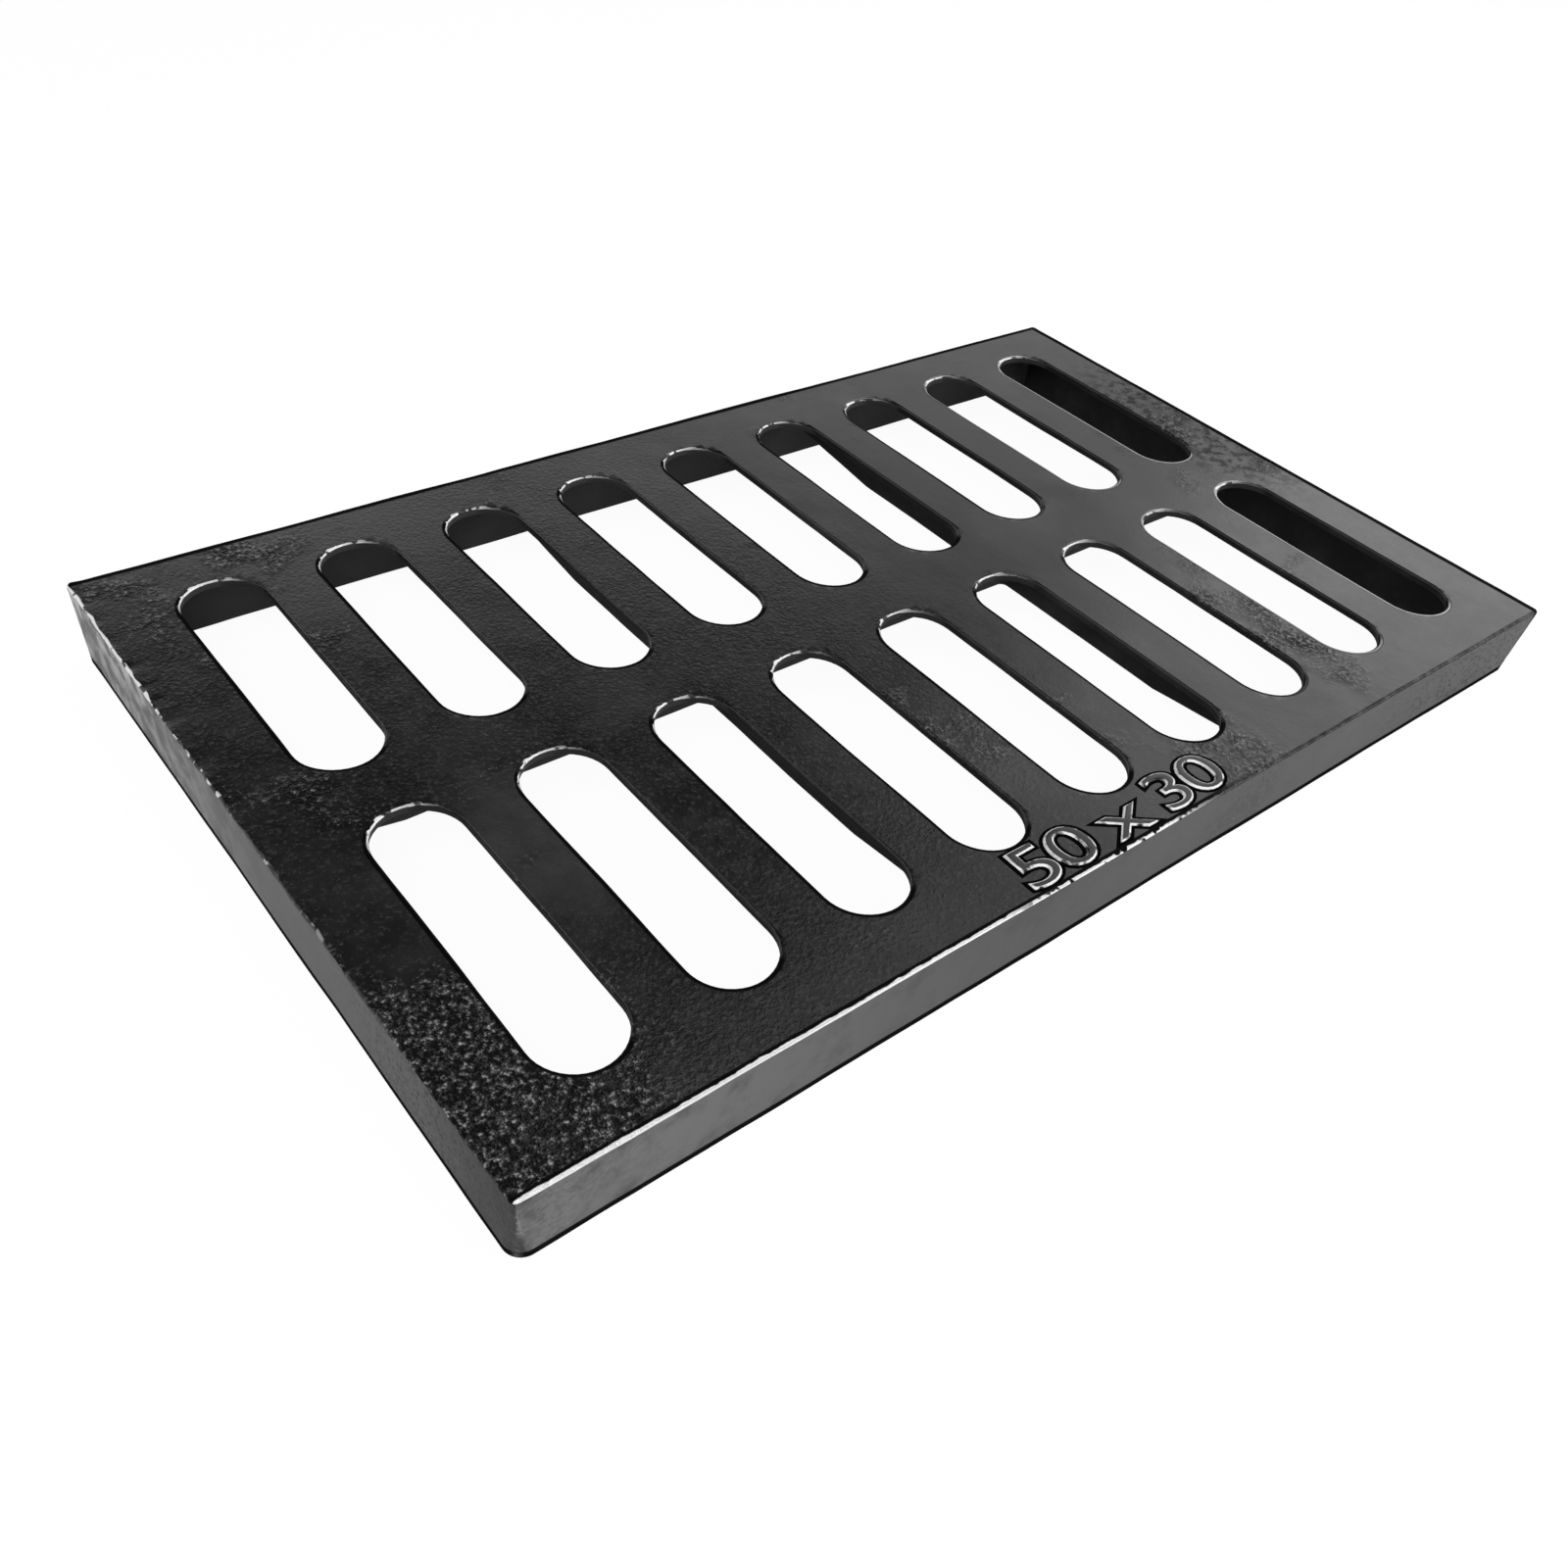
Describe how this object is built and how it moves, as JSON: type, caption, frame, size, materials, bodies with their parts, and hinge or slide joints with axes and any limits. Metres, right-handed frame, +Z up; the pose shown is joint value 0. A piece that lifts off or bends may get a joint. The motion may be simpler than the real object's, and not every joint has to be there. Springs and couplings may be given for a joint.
{
  "type": "slotted drain grate",
  "caption": "Rectangular cast-iron drain grate: a thin plate with rows of round-ended slots on a deep leaning rim, with ribs crossing underneath.",
  "frame": {"origin": "centre of the underside, on the plane that the rim's seat rests on", "axes": "+X along the long side, +Y along the short side, +Z up to the walking surface"},
  "size_m": [0.4998, 0.2998, 0.031],
  "materials": {
    "coated_iron": "black bitumen-like coat on as-cast iron, satin, with fine pitting"
  },
  "bodies": {
    "root": {"grate": "coated_iron"}
  },
  "joints": []
}
